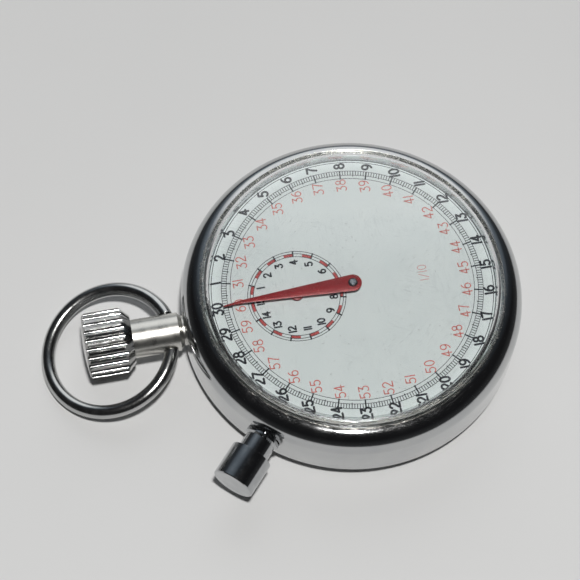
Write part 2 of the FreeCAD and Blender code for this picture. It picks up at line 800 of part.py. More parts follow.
def crown_wheel():
    """Spur teeth for the ratchet wheel, face teeth under them for the winding pinion."""
    face_base = winding_z + 0.4
    spur = gear(crown_wheel_teeth, winding_module, winding_z, face_base, crown_wheel_at, crown_wheel_phase)
    crown_teeth_z = crown_axis_z - winding_pinion_tip - 0.08
    face = ring(face_tooth_outer, face_tooth_inner, face_base, crown_teeth_z, crown_wheel_at)
    wheel = fuse([spur, face])
    for tooth in range(crown_wheel_teeth):
        angle = 2 * math.pi * tooth / crown_wheel_teeth
        wheel = wheel.cut(bar(face_tooth_outer + 0.2, 0.4, face_base, crown_teeth_z, crown_wheel_at, angle))
    bore = crown_wheel_core_radius + running_clearance
    return wheel.cut(cylinder(bore, winding_z, crown_teeth_z, crown_wheel_at))


def crown_wheel_core():
    """Shouldered stud riveted in the barrel bridge, with a flange under the crown wheel."""
    shoulder_top = winding_z + 0.75
    return fuse([
        cylinder(0.5, bridge_base_z, bridge_top_z, crown_wheel_at),
        cylinder(crown_wheel_core_radius, bridge_top_z, shoulder_top, crown_wheel_at),
        cylinder(crown_wheel_core_radius + 0.45, shoulder_top, shoulder_top + 0.25, crown_wheel_at),
    ])


def winding_pinion():
    body = gear(winding_pinion_teeth, winding_pinion_module, pinion_start_y, pinion_end_y, (0.0, 0.0))
    hole = stem_square + 2 * running_clearance
    corner = Vector(-hole / 2, -hole / 2, pinion_start_y)
    square = Part.makeBox(hole, hole, pinion_end_y - pinion_start_y, corner)
    return on_crown_axis(body.cut(square))


def click():
    """Pawl beside the ratchet wheel, held just off its teeth."""
    ratchet_tip = winding_module * (ratchet_teeth / 2 + addendum_factor)
    toward = math.atan2(click_at[1] - barrel_at[1], click_at[0] - barrel_at[0])
    tip = polar(ratchet_tip + 0.15 + click_width / 2, toward + radians(16), *barrel_at)
    body = fuse([
        slab([click_at, tip], click_width, winding_z, winding_z + winding_wheel_height),
        cylinder(1.1, winding_z, winding_z + winding_wheel_height, click_at),
    ])
    return body.cut(cylinder(post_radius + running_clearance, winding_z, winding_z + 1, click_at))


def click_spring():
    points = [(15.4, 1.2), (16.5, 3.6), (16.1, 6.6), (15.2, 8.2)]
    strip = slab(points, 0.25, winding_z + 0.1, winding_z + 0.5)
    foot = cylinder(0.7, winding_z, bridge_foot_z, points[0])
    return fuse([strip, foot])


# ---------------------------------------------------------------- going train
def hand_arbor(at, top_z, pinion=None):
    """An arbor whose upper end passes the plate and the dial to carry a hand."""
    shaft = cylinder(arbor_radius, bridge_top_z + free_gap, top_z, at)
    pivot = cylinder(pivot_radius, bridge_base_z + free_gap, bridge_top_z + free_gap, at)
    shapes = [shaft, pivot]
    if pinion is not None:
        shapes.append(pinion)
    return fuse(shapes)


def sweep_arbor():
    pinion = gear(sweep_pinion_teeth, third_module, third_wheel_z - pinion_overlap,
                  third_wheel_z + wheel_thickness + pinion_overlap, sweep_at, sweep_pinion_phase)
    return hand_arbor(sweep_at, sweep_hand_z + hand_thickness + 0.2, pinion)


def minute_arbor():
    pinion = gear(minute_pinion_teeth, barrel_module, minute_pinion_z,
                  minute_pinion_z + drum_tooth_height + 0.2, minute_at, minute_pinion_phase)
    return hand_arbor(minute_at, minute_hand_z + hand_thickness + 0.1, pinion)


def third_arbor():
    pinion = gear(third_pinion_teeth, minute_module, minute_wheel_z - pinion_overlap,
                  minute_wheel_z + wheel_thickness + pinion_overlap, third_at, third_pinion_phase)
    shaft = arbor(third_at, arbor_radius, bridge_top_z + free_gap, plate_base_z - free_gap / 3)
    return fuse([shaft, pinion])


def escape_arbor():
    pinion = gear(escape_pinion_teeth, sweep_module, sweep_wheel_z - pinion_overlap,
                  sweep_wheel_z + wheel_thickness + pinion_overlap, escape_at, escape_pinion_phase)
    shaft = arbor(escape_at, thin_arbor_radius, bridge_top_z + free_gap, plate_base_z - free_gap / 3)
    return fuse([shaft, pinion])


def staked(wheel, at, radius=arbor_radius):
    """Bore a wheel to sit on its arbor."""
    return wheel.cut(cylinder(radius, bridge_base_z, plate_top_z, at))


def sweep_wheel():
    return staked(spoked_gear(sweep_teeth, sweep_module, sweep_wheel_z, sweep_at, sweep_phase), sweep_at)


def minute_wheel():
    wheel = spoked_gear(minute_teeth, minute_module, minute_wheel_z, minute_at, minute_phase)
    return staked(wheel, minute_at)


def third_wheel():
    return staked(spoked_gear(third_teeth, third_module, third_wheel_z, third_at, third_phase), third_at)


def sweep_heart():
    return staked(heart_cam(sweep_at, heart_z, heart_z + heart_height, math.pi), sweep_at)


def minute_heart():
    return staked(heart_cam(minute_at, heart_z, heart_z + heart_height, math.pi), minute_at)


def escape_wheel():
    """Fifteen pointed teeth on a thin rim."""
    outline = []
    for tooth in range(escape_teeth):
        angle = 2 * math.pi * tooth / escape_teeth
        step = 2 * math.pi / escape_teeth
        outline.append(polar(escape_radius, angle, *escape_at))
        outline.append(polar(escape_radius, angle + 0.12 * step, *escape_at))
        outline.append(polar(0.78 * escape_radius, angle + 0.38 * step, *escape_at))
        outline.append(polar(0.78 * escape_radius, angle + 0.80 * step, *escape_at))
    wheel = prism(outline, escape_z, escape_z + wheel_thickness)
    crossed = crossed_out(wheel, 0.98 * escape_radius, escape_at, escape_z, escape_z + wheel_thickness, 0.8)
    return staked(crossed, escape_at, thin_arbor_radius)


def pallet_lever():
    """Lever with two pallet pins beside the escape wheel and a forked end by the roller."""
    base = escape_z + wheel_thickness + 0.2
    top = base + 0.4
    back = lever_line + math.pi
    pin_distance = escape_radius + pallet_pin_radius + 0.1
    pieces = [cylinder(0.55, base, top, pallet_at)]
    for side in (-1, 1):
        pin_at = polar(pin_distance, back + math.pi + side * radians(42), *escape_at)
        pieces.append(slab([pallet_at, pin_at], 0.4, base, top))
        pieces.append(cylinder(pallet_pin_radius, escape_z - 0.1, base, pin_at))
    fork_length = math.hypot(balance_at[0] - pallet_at[0], balance_at[1] - pallet_at[1])
    fork_length -= roller_pin_circle + roller_pin_radius + 0.1
    fork_end = polar(fork_length, lever_line, *pallet_at)
    pieces.append(slab([pallet_at, polar(fork_length - 0.5, lever_line, *pallet_at)], 0.4, base, top))
    pieces.append(bar(0.5, 1.1, base, top, polar(-0.5, lever_line, *fork_end), lever_line))
    shaft = fuse([
        cylinder(thin_arbor_radius, pallet_cock_z + 0.75, plate_base_z - free_gap / 3, pallet_at),
        cylinder(pivot_radius, pallet_cock_z + 0.1, plate_top_z - free_gap, pallet_at),
    ])
    whole = fuse(pieces + [shaft])
    return whole.cut(bar(0.4, 0.4, base, top, polar(-0.4, lever_line, *fork_end), lever_line))


# ---------------------------------------------------------------- balance
def balance_wheel():
    top = balance_z + balance_thickness
    rim = ring(balance_radius, balance_radius - balance_rim, balance_z, top, balance_at)
    arms = [
        bar(balance_radius - balance_rim / 2, 0.7, balance_z + 0.15, top - 0.15, balance_at, angle)
        for angle in (radians(30), radians(150), radians(270))
    ]
    hub = cylinder(0.9, balance_z + 0.15, top - 0.15, balance_at)
    return staked(fuse([rim, hub] + arms), balance_at, thin_arbor_radius)


def balance_staff():
    low = cylinder(pivot_radius, bridge_base_z + 0.35, bridge_top_z, balance_at)
    high = cylinder(pivot_radius, plate_base_z - 0.1, plate_top_z + 0.3, balance_at)
    body = cylinder(thin_arbor_radius, bridge_top_z, plate_base_z - 0.1, balance_at)
    collet = cylinder(0.55, bridge_top_z + 0.15, balance_z + 0.15, balance_at)
    return fuse([body, low, high, collet])


def roller():
    """Disc with the impulse pin that the lever's fork drives."""
    disc_z = escape_z - 0.15
    disc = cylinder(1.05, disc_z, disc_z + 0.4, balance_at)
    pin_at = polar(roller_pin_circle, lever_line + math.pi, *balance_at)
    pin = cylinder(roller_pin_radius, disc_z + 0.4, plate_base_z - 0.4, pin_at)
    return staked(fuse([disc, pin]), balance_at, thin_arbor_radius)


def hairspring():
    base = bridge_top_z + 0.3
    return spiral_strip(balance_at, 0.75, hairspring_radius, hairspring_turns, hairspring_strip,
                        base, base + hairspring_height, hairspring_start)


def regulator():
    """Index that turns on the boss of the balance cock."""
    top = bridge_base_z - 0.02
    base = bridge_base_z - regulator_height + 0.05
    hoop = cylinder(cock_boss_radius + 0.75, base, top, balance_at)
    pointer = slab([balance_at, polar(4.6, radians(-20), *balance_at)], 0.6, base, top)
    tail = slab([balance_at, polar(2.6, radians(125), *balance_at)], 0.6, base, top)
    bore = cylinder(cock_boss_radius + running_clearance, base, top, balance_at)
    return fuse([hoop, pointer, tail]).cut(bore)


# ---------------------------------------------------------------- start, stop and reset work
def post_bore(at):
    return cylinder(post_radius + running_clearance, bridge_base_z, plate_base_z, at)


def operating_lever():
    """The stem pushes its nose; the other end reaches the column wheel."""
    top = lever_z + lever_thickness
    nose = (-0.2, stem_end_y - 0.1 - 0.6)
    body = fuse([
        slab([nose, operating_at, (-13.2, 8.2)], 1.2, lever_z, top),
        cylinder(1.4, lever_z, top, operating_at),
    ])
    return body.cut(post_bore(operating_at))


def column_wheel():
    """Twelve ratchet teeth carrying six upright columns."""
    base = plate_base_z - 1.6
    outline = []
    for tooth in range(column_teeth):
        angle = 2 * math.pi * tooth / column_teeth
        outline.append(polar(column_wheel_radius, angle, *column_at))
        outline.append(polar(1.75, angle + radians(6), *column_at))
    wheel = prism(outline, base, base + 0.7)
    directions = [2 * math.pi * place / column_count for place in range(column_count)]
    columns = [bar(0.8, 0.7, base - 1.9, base, polar(1.0, angle, *column_at), angle) for angle in directions]
    shaft = arbor(column_at, 0.7, bridge_top_z + free_gap, plate_base_z - free_gap / 3)
    return fuse([wheel, shaft, cylinder(1.2, base - 0.3, base, column_at)] + columns)


def column_jumper():
    points = [(-18.6, 0.6), (-18.9, 3.0), (-17.4, 5.6)]
    strip = slab(points, 0.3, plate_base_z - 1.4, plate_base_z - 0.9)
    return fuse([strip, cylinder(0.8, plate_base_z - 1.5, plate_base_z, points[0])])


def brake_lever():
    """Stop lever whose blade rests against the balance rim."""
    top = heart_z + 0.6
    blade_angle = math.atan2(-2.3, -5.5)
    blade = polar(balance_radius + assembly_gap + brake_width / 2, blade_angle, *balance_at)
    body = fuse([
        slab([(-13.5, 2.0), brake_at, (-9.6, -12.9), blade], brake_width, heart_z, top),
        cylinder(1.3, heart_z, top, brake_at),
    ])
    return body.cut(post_bore(brake_at))


def reset_hammer():
    """Two fingers that strike the hearts, and an upright pad in front of the button rod."""
    top = heart_z + heart_height
    spine = (-9.3, 4.0)
    upper = (-9.9, minute_at[1])
    pad_at = polar(button_rod_end - 0.3 - pad_thickness, math.pi / 2 + radians(button_angle))
    along_pad = radians(button_angle)
    lower = (-8.6, 0.0)
    paths = [
        [hammer_at, lower, (-sweep_finger_distance, sweep_at[1])],
        [lower, spine, upper, (-minute_finger_distance, minute_at[1])],
        [upper, polar(-2.0, along_pad, *pad_at)],
    ]
    pieces = [slab(path, hammer_arm_width, heart_z, top) for path in paths]
    pieces.append(cylinder(1.5, heart_z, top, hammer_at))
    pad_height = crown_axis_z + 0.8 - heart_z
    pad = Part.makeBox(pad_length, pad_thickness, pad_height, Vector(1.1 - pad_length, 0, heart_z))
    pad.rotate(Vector(0, 0, 0), Vector(0, 0, 1), button_angle)
    pad.translate(Vector(pad_at[0], pad_at[1], 0))
    return fuse(pieces + [pad]).cut(post_bore(hammer_at))


def hammer_spring():
    points = [(-16.4, -9.2), (-15.2, -3.0), (-11.3, 1.4)]
    strip = slab(points, 0.3, heart_z + 1.0, heart_z + 1.4)
    return fuse([strip, cylinder(0.8, heart_z + 0.9, plate_base_z, points[0])])


# ---------------------------------------------------------------- hands
def tapered_hand(length, width, hub_radius, base, at, drop=0.0):
    """A hand that points up +Y; its last stretch bends down towards the dial by the drop."""
    tip = hand_tip_width / 2
    corners = [(-width / 2, 0), (-tip, length), (tip, length), (width / 2, 0)]
    plan = prism(corners, base - drop - 1, base + hand_thickness + 1)
    bend = 0.93 * length
    side = [
        (-width, base), (bend, base), (length, base - drop), (length, base - drop + hand_thickness),
        (bend, base + hand_thickness), (-width, base + hand_thickness),
    ]
    loop = [Vector(-width, y, z) for y, z in side]
    strip = Part.Face(Part.makePolygon(loop + loop[:1])).extrude(Vector(2 * width, 0, 0))
    hub = cylinder(hub_radius, base, base + hand_thickness)
    hand = fuse([plan.common(strip), hub])
    hand.translate(Vector(at[0], at[1], 0))
    return hand


def sweep_hand():
    size = (sweep_hand_length, sweep_hand_width, sweep_hub_radius)
    blade = tapered_hand(*size, sweep_hand_z, sweep_at, hand_tip_drop)
    tube = cylinder(0.8, sweep_hand_z - 0.3, sweep_hand_z + hand_thickness + 0.1)
    return fuse([blade, tube]).cut(cylinder(arbor_radius, dial_top_z, sweep_hand_z + 1))


def minute_hand():
    blade = tapered_hand(minute_hand_length, minute_hand_width, minute_hub_radius, minute_hand_z, minute_at)
    return blade.cut(cylinder(arbor_radius, dial_top_z, minute_hand_z + 1, minute_at))


# ---------------------------------------------------------------- pendant, crown and bow
def bow_drop_angle():
    """How far the bow hangs below the level when its far end lies on the ground plane."""
    reach = bow_centre_distance() + bow_ring_radius
    return math.asin((crown_axis_z - bow_wire_radius) / reach)


def bow_end_x():
    return pendant_radius + 0.15


def bow_centre_distance():
    return math.sqrt(bow_ring_radius ** 2 - bow_end_x() ** 2)


def bow():
    """Round wire ring whose two ends narrow to pins in the pendant."""
    ring_shape = Part.makeTorus(bow_ring_radius, bow_wire_radius, Vector(0, bow_centre_distance(), 0))
    near = bow_ring_radius / 2
    gap = Part.makeBox(2 * bow_end_x(), 2 * near, 2 * near, Vector(-bow_end_x(), -near, -near))
    wire = ring_shape.cut(gap)
    pin_length = bow_end_x() - pendant_bore - 0.15 + bow_pin_root
    pins = [
        Part.makeCylinder(bow_pin_radius, pin_length, Vector(side * (bow_end_x() + bow_pin_root), 0, 0),
                          Vector(-side, 0, 0))
        for side in (-1, 1)
    ]
    whole = fuse([wire] + pins)
    whole.rotate(Vector(0, 0, 0), Vector(1, 0, 0), -math.degrees(bow_drop_angle()))
    whole.translate(Vector(0, bow_pivot_y, crown_axis_z))
    return whole


def pendant_tube():
    taper_end = pendant_neck_end_y + pendant_taper
    guide = stem_radius + running_clearance
    start = cavity_radius - assembly_gap / 2
    tube = on_crown_axis(turned([
        (guide, start), (pendant_neck_radius, start), (pendant_neck_radius, pendant_neck_end_y),
        (pendant_radius, taper_end), (pendant_radius, pendant_end_y), (pendant_bore, pendant_end_y),
        (pendant_bore, pendant_shoulder_y), (guide, pendant_shoulder_y),
    ]))
    for side in (-1, 1):
        start = Vector(side * (pendant_bore + 0.1), bow_pivot_y, crown_axis_z)
        hole_radius = bow_pin_radius + running_clearance
        hole = Part.makeCylinder(hole_radius, pendant_radius, start, Vector(side, 0, 0))
        tube = tube.cut(hole)
    return tube


def winding_stem():
    square_end = pinion_end_y + crown_travel + free_gap
    square = Part.makeBox(stem_square, stem_square, square_end - stem_end_y,
                          Vector(-stem_square / 2, -stem_square / 2, stem_end_y))
    shaft = cylinder(stem_radius, square_end, crown_bore_end())
    collar = cylinder(stem_radius + 0.35, sleeve_start_y - 0.5, sleeve_start_y - assembly_gap)
    return on_crown_axis(fuse([square, shaft, collar]))


def crown_recess_end():
    return crown_start_y + crown_length - crown_cap_thickness


def crown_bore_end():
    return crown_start_y + crown_length - 1.2


def crown():
    """Fluted cap with a skirt that slides over the end of the pendant."""
    end = crown_start_y + crown_length
    hub_start = pendant_end_y - sleeve_clearance + assembly_gap
    skirt = pendant_radius + crown_skirt_clearance
    rim_y = end - crown_dome
    hub = pendant_bore - sleeve_clearance
    face_radius = crown_radius - flute_depth - 0.15
    blank = turned([
        (0, end), (0, crown_bore_end()), (stem_radius, crown_bore_end()), (stem_radius, hub_start),
        (hub, hub_start), (hub, crown_recess_end()), (skirt, crown_recess_end()), (skirt, crown_start_y),
        (crown_radius - crown_chamfer, crown_start_y), (crown_radius, crown_start_y + crown_chamfer),
        (crown_radius, rim_y), (face_radius, end - crown_dome / 2), (face_radius, end),
    ])
    groove_centre = crown_radius + flute_radius - flute_depth
    grooves = [
        cylinder(flute_radius, crown_start_y - 1, end - crown_dome / 2 + 0.1,
                 polar(groove_centre, 2 * math.pi * flute / crown_flutes))
        for flute in range(crown_flutes)
    ]
    fluted = blank.cut(Part.makeCompound(grooves))
    dome_radius = (face_radius ** 2 + (crown_dome / 2) ** 2) / crown_dome
    dome = Part.makeSphere(dome_radius, Vector(0, 0, end - dome_radius))
    return on_crown_axis(fluted.common(dome))


def start_sleeve():
    return on_crown_axis(ring(pendant_bore - running_clearance, stem_radius + running_clearance,
                              sleeve_start_y, pendant_end_y - sleeve_clearance))


def crown_spring():
    return on_crown_axis(coil_spring((pendant_bore + stem_radius + 0.35) / 2, 0.2,
                                     pendant_shoulder_y + 0.02, sleeve_start_y - 0.02, 4))


# ---------------------------------------------------------------- reset button
def button_tube():
    start = cavity_radius - assembly_gap / 2
    guide = button_rod_radius + running_clearance
    return on_button_axis(turned([
        (guide, start), (button_tube_radius, start), (button_tube_radius, case_radius + 0.02),
        (button_collar_radius, case_radius + 0.02), (button_collar_radius, case_radius + 0.5),
        (button_tube_radius, case_radius + 0.75), (button_tube_radius, button_tube_end),
        (button_tube_bore, button_tube_end), (button_tube_bore, case_radius), (guide, case_radius),
    ]))


def button_recess_end():
    return button_start + button_length - button_cap_thickness


def reset_button():
    end = button_start + button_length
    skirt = button_tube_radius + 0.1
    return on_button_axis(turned([
        (button_rod_radius, button_recess_end()), (skirt, button_recess_end()), (skirt, button_start),
        (button_radius, button_start), (button_radius, end - button_edge), (button_radius - button_edge, end),
        (0, end), (0, button_recess_end() + 1.2), (button_rod_radius, button_recess_end() + 1.2),
    ]))


def button_rod():
    return on_button_axis(cylinder(button_rod_radius, button_rod_end, button_recess_end() + 1.2))


def button_spring():
    return on_button_axis(coil_spring((button_tube_bore + button_rod_radius) / 2, 0.17,
                                      case_radius + 0.02, button_recess_end() - 0.02, 6))


# ---------------------------------------------------------------- one STEP file per piece
nodes = {
    "case_body": case_body, "back_cover": back_cover, "crystal": crystal, "tension_ring": tension_ring,
    "dial": dial, "sweep_hand": sweep_hand, "minute_hand": minute_hand, "pendant_tube": pendant_tube,
    "bow": bow, "crown": crown, "winding_stem": winding_stem, "start_sleeve": start_sleeve,
    "crown_spring": crown_spring, "button_tube": button_tube, "reset_button": reset_button,
    "button_rod": button_rod, "button_spring": button_spring, "main_plate": main_plate,
    "plate_pillars": pillars, "barrel_bridge": barrel_bridge, "train_bridge": train_bridge,
    "balance_cock": balance_cock, "pallet_cock": pallet_cock, "movement_ring": movement_ring,
    "bridge_screws": bridge_screws, "case_clamps": case_clamps, "barrel_drum": barrel_drum,
    "barrel_cover": barrel_cover, "barrel_arbor": barrel_arbor, "mainspring": mainspring,
    "ratchet_wheel": ratchet_wheel, "crown_wheel": crown_wheel, "crown_wheel_core": crown_wheel_core,
    "winding_pinion": winding_pinion, "click": click, "click_spring": click_spring,
    "minute_wheel": minute_wheel, "minute_arbor": minute_arbor, "minute_heart": minute_heart,
    "third_wheel": third_wheel, "third_arbor": third_arbor, "sweep_wheel": sweep_wheel,
    "sweep_arbor": sweep_arbor, "sweep_heart": sweep_heart, "escape_wheel": escape_wheel,
    "escape_arbor": escape_arbor, "pallet_lever": pallet_lever, "balance_wheel": balance_wheel,
    "balance_staff": balance_staff, "roller": roller, "hairspring": hairspring,
    "balance_jewels": balance_jewels, "regulator": regulator, "operating_lever": operating_lever,
    "column_wheel": column_wheel, "column_jumper": column_jumper, "brake_lever": brake_lever,
    "reset_hammer": reset_hammer, "hammer_spring": hammer_spring,
}

os.makedirs("parts", exist_ok=True)
for name, make in nodes.items():
    make().exportStep("parts/" + name + ".step")
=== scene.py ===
import math

import bmesh
import bpy
from mathutils import Matrix, Vector


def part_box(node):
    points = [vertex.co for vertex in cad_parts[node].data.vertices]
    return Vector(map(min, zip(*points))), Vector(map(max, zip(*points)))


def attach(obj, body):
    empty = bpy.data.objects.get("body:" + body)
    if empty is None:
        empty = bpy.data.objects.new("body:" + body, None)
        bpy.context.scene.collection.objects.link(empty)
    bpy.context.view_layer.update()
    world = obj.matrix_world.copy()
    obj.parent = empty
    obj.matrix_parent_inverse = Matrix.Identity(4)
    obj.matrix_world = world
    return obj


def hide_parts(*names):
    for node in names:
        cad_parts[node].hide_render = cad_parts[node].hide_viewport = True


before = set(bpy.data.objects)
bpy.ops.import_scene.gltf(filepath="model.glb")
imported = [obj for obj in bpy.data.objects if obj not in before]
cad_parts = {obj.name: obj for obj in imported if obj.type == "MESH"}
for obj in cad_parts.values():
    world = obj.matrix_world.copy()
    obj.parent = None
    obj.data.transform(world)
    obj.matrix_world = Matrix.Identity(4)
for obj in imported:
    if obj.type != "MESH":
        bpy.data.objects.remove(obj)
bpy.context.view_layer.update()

MM = 0.001

# ---------------------------------------------------------------- places read from the parts of model.glb
DIAL_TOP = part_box("dial")[1].z
SWEEP_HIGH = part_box("sweep_hand")[1]
MINUTE_LOW, MINUTE_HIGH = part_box("minute_hand")
SWEEP_HUB_RADIUS = SWEEP_HIGH.x
MINUTE_HUB_RADIUS = MINUTE_HIGH.x
MINUTE_AT = Vector((0.0, MINUTE_LOW.y + MINUTE_HUB_RADIUS, 0.0))
BEZEL_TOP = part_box("case_body")[1].z
CRYSTAL_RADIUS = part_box("crystal")[1].x
CRYSTAL_SHOULDER = CRYSTAL_RADIUS - 1.5 * MM

# ---------------------------------------------------------------- dial print
PRINT_BASE = DIAL_TOP - 0.004 * MM
PRINT_TOP = DIAL_TOP + 0.012 * MM
HAIRLINE = 0.055 * MM
TRACK_INNER = 18.4 * MM
LADDER_INNER = 18.99 * MM
LADDER_OUTER = 19.73 * MM
HALF_SECOND_INNER = 18.8 * MM
EDGE_LINES = (21.28 * MM, 21.62 * MM)
TENTHS = 300
BLACK_NUMBER_RADIUS = 20.62 * MM
RED_NUMBER_RADIUS = 17.2 * MM
NUMBER_HEIGHT = 1.48 * MM
SUB_OUTER = 7.37 * MM
SUB_MIDDLE = 6.98 * MM
SUB_INNER = 6.5 * MM
SUB_NUMBER_RADIUS = 5.55 * MM
SUB_NUMBER_HEIGHT = 1.08 * MM
SUB_MINUTES = 15
FRACTION_AT = (0.3 * MM, -10.9 * MM)
BLACK_PEN = 0.168 * MM
RED_PEN = 0.085 * MM
FRACTION_PEN = 0.04 * MM
SUB_PEN = 0.132 * MM
MAJOR_TICK = 0.11 * MM
SUB_TICK = 0.115 * MM
TICK_OVERHANG = 0.1 * MM


# ---------------------------------------------------------------- node helpers
def feed(tree, socket, value):
    if isinstance(value, bpy.types.NodeSocket):
        tree.links.new(value, socket)
    else:
        socket.default_value = value


def node(tree, kind, inputs=None, **settings):
    made = tree.nodes.new("ShaderNode" + kind)
    for name, value in settings.items():
        setattr(made, name, value)
    for name, value in (inputs or {}).items():
        feed(tree, made.inputs[name], value)
    return made


def math_of(tree, operation, a, b=0.0):
    made = node(tree, "Math", operation=operation)
    feed(tree, made.inputs[0], a)
    feed(tree, made.inputs[1], b)
    return made.outputs[0]


def place(tree, stretch=(1, 1, 1), turn=(0, 0, 0)):
    """The piece's own coordinates, stretched and turned."""
    here = node(tree, "TexCoord").outputs["Object"]
    turned = node(tree, "Mapping", {"Vector": here, "Rotation": turn})
    return node(tree, "Mapping", {"Vector": turned.outputs[0], "Scale": stretch}).outputs[0]


def noise(tree, size, detail=3.0, stretch=(1, 1, 1), turn=(0, 0, 0)):
    """Noise whose blotches are about size metres across."""
    inputs = {"Vector": place(tree, stretch, turn), "Scale": 1 / size, "Detail": detail}
    return node(tree, "TexNoise", inputs).outputs["Fac"]


def spread(tree, value, low, high, from_low=0.3, from_high=0.7):
    inputs = {"Value": value, "From Min": from_low, "From Max": from_high, "To Min": low, "To Max": high}
    return node(tree, "MapRange", inputs).outputs["Result"]


def ramp(tree, value, stops):
    made = node(tree, "ValToRGB", {"Fac": value})
    points = made.color_ramp.elements
    while len(points) < len(stops):
        points.new(1.0)
    for point, (position, colour) in zip(points, stops):
        point.position = position
        point.color = (*colour, 1.0)
    return made.outputs["Color"]


def mixed(tree, factor, a, b):
    made = node(tree, "Mix", data_type="RGBA")
    feed(tree, made.inputs[0], factor)
    feed(tree, made.inputs[6], a if isinstance(a, bpy.types.NodeSocket) else (*a, 1.0))
    feed(tree, made.inputs[7], b if isinstance(b, bpy.types.NodeSocket) else (*b, 1.0))
    return made.outputs[2]


def axis_distance(tree):
    """Distance from the upright axis of the case, in metres."""
    split = node(tree, "SeparateXYZ", {"Vector": node(tree, "TexCoord").outputs["Object"]})
    x, y = split.outputs["X"], split.outputs["Y"]
    return math_of(tree, "SQRT", math_of(tree, "ADD", math_of(tree, "MULTIPLY", x, x),
                                         math_of(tree, "MULTIPLY", y, y)))


def scratches(tree, length, width, share, seed=0.0):
    """Short hairlines in three directions: 1 on a scratch, 0 beside it."""
    total = None
    for index, angle in enumerate((0.35, 1.5, 2.6)):
        fine = noise(tree, width, 1.0, (1.0, width / length, 1.0), (0, 0, angle + seed))
        line = spread(tree, fine, 0.0, 1.0, share, share + 0.03)
        where = spread(tree, noise(tree, 3.5 * length, 1.0, turn=(0, seed, index)), 0.0, 1.0, 0.45, 0.6)
        hit = math_of(tree, "MULTIPLY", line, where)
        total = hit if total is None else math_of(tree, "MAXIMUM", total, hit)
    return total


def start_material(name):
    made = bpy.data.materials.new(name)
    made.use_nodes = True
    return made, made.node_tree, made.node_tree.nodes["Principled BSDF"]


def finish_material(tree, shader, colour, roughness, height=None, strength=0.2, depth=0.01 * MM, edge=0.0):
    """Wire colour, roughness and relief; edge rounds the shading of sharp corners."""
    feed(tree, shader.inputs["Base Color"], colour)
    feed(tree, shader.inputs["Roughness"], roughness)
    normal = None
    if edge:
        normal = node(tree, "Bevel", {"Radius": edge}, samples=4).outputs["Normal"]
    if height is not None:
        bump = node(tree, "Bump", {"Strength": strength, "Distance": depth, "Height": height})
        if normal is not None:
            tree.links.new(normal, bump.inputs["Normal"])
        normal = bump.outputs["Normal"]
    if normal is not None:
        tree.links.new(normal, shader.inputs["Normal"])


# ---------------------------------------------------------------- materials
def chrome_material():
    """Mirror chrome: hairlines, slight blotches, and a dull yellowed edge beside the crystal."""
    made, tree, shader = start_material("polished_chrome")
    shader.inputs["Metallic"].default_value = 1.0
    hair = scratches(tree, 4.0 * MM, 0.05 * MM, 0.66)
    clean = ramp(tree, noise(tree, 6 * MM), [(0.3, (0.50, 0.51, 0.52)), (0.7, (0.57, 0.575, 0.575))])
    radius = axis_distance(tree)
    rough_edge = noise(tree, 0.9 * MM, 5.0)
    reach = spread(tree, rough_edge, CRYSTAL_RADIUS + 0.05 * MM, CRYSTAL_RADIUS + 0.38 * MM)
    near_glass = math_of(tree, "LESS_THAN", radius, reach)
    height = node(tree, "SeparateXYZ", {"Vector": node(tree, "TexCoord").outputs["Object"]}).outputs["Z"]
    on_top = math_of(tree, "GREATER_THAN", height, BEZEL_TOP - 0.9 * MM)
    grime = math_of(tree, "MULTIPLY", near_glass, on_top)
    grime = math_of(tree, "MULTIPLY", grime, spread(tree, noise(tree, 0.35 * MM, 4.0), 0.1, 0.6, 0.35, 0.6))
    colour = mixed(tree, grime, clean, (0.62, 0.59, 0.50))
    worn = math_of(tree, "ADD", spread(tree, noise(tree, 2.2 * MM, 4.0), 0.05, 0.10),
                   math_of(tree, "MULTIPLY", hair, 0.12))
    roughness = math_of(tree, "ADD", worn, math_of(tree, "MULTIPLY", grime, 0.20))
    finish_material(tree, shader, colour, roughness, hair, 0.06, 0.004 * MM, 0.05 * MM)
    return made


def satin_material(name, colours, roughness, line_size, squeeze, edge=0.06 * MM):
    """Turned metal with fine lines; squeeze narrows their noise along x, y and z."""
    made, tree, shader = start_material(name)
    shader.inputs["Metallic"].default_value = 1.0
    lines = noise(tree, line_size, 2.0, squeeze)
    blotch = noise(tree, 1.6 * MM, 4.0)
    colour = ramp(tree, blotch, [(0.3, colours[0]), (0.7, colours[1])])
    varied = math_of(tree, "ADD", spread(tree, blotch, *roughness), spread(tree, lines, -0.03, 0.03))
    finish_material(tree, shader, colour, varied, lines, 0.12, 0.004 * MM, edge)
    return made


